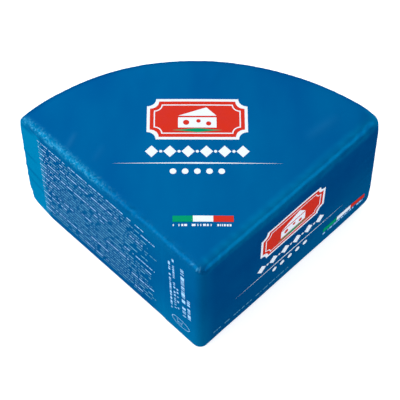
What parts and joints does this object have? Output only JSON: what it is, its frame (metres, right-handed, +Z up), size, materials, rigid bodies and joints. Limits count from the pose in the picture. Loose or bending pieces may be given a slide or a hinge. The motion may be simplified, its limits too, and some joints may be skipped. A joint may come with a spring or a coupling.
{
  "type": "foil-wrapped blue cheese quarter",
  "caption": "Shut foil-wrapped quarter wheel of soft blue-veined cheese, a rounded wedge with a curved rim that stands on its flat underside.",
  "frame": {"origin": "middle of the bounding box, at the level of the underside", "axes": "+Z up from the underside, +X across the wedge from one rim corner to the other, +Y from the tip towards the curved rim"},
  "size_m": [0.2034, 0.1434, 0.0888],
  "materials": {
    "printed_foil": "lacquered, printed aluminium foil in a satin mid blue, drawn tight over the cheese, crinkled along its edges and pleated down the rim"
  },
  "bodies": {
    "root": {"wrapped_wedge": "printed_foil"}
  },
  "joints": []
}
